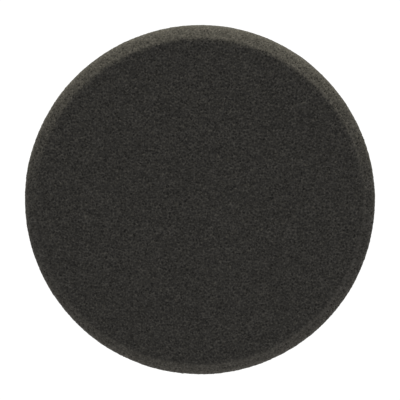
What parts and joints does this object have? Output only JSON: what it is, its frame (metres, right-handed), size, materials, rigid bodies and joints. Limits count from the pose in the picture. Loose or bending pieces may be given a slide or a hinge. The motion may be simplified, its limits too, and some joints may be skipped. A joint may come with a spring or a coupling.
{
  "type": "polishing pad",
  "caption": "Round foam polishing pad with a flat working face, a softened bevelled edge and a hook-and-loop fabric backing.",
  "frame": {"origin": "centre of the loop face, which the pad lies on", "axes": "+Z out of the polishing face, along the pad's axis of symmetry; +X and +Y lie in the loop face and are alike"},
  "size_m": [0.15, 0.15, 0.025],
  "materials": {
    "foam": "open-cell polyurethane foam, charcoal black, matt, with a fine porous grain",
    "adhesive_film": "hot-melt adhesive film, black, satin, seen only as a line round the rim",
    "loop_fabric": "warp-knitted nylon loop fabric, black, brushed to a soft looped pile"
  },
  "bodies": {
    "root": {"foam_disc": "foam", "bond_film": "adhesive_film", "loop_backing": "loop_fabric"}
  },
  "joints": []
}
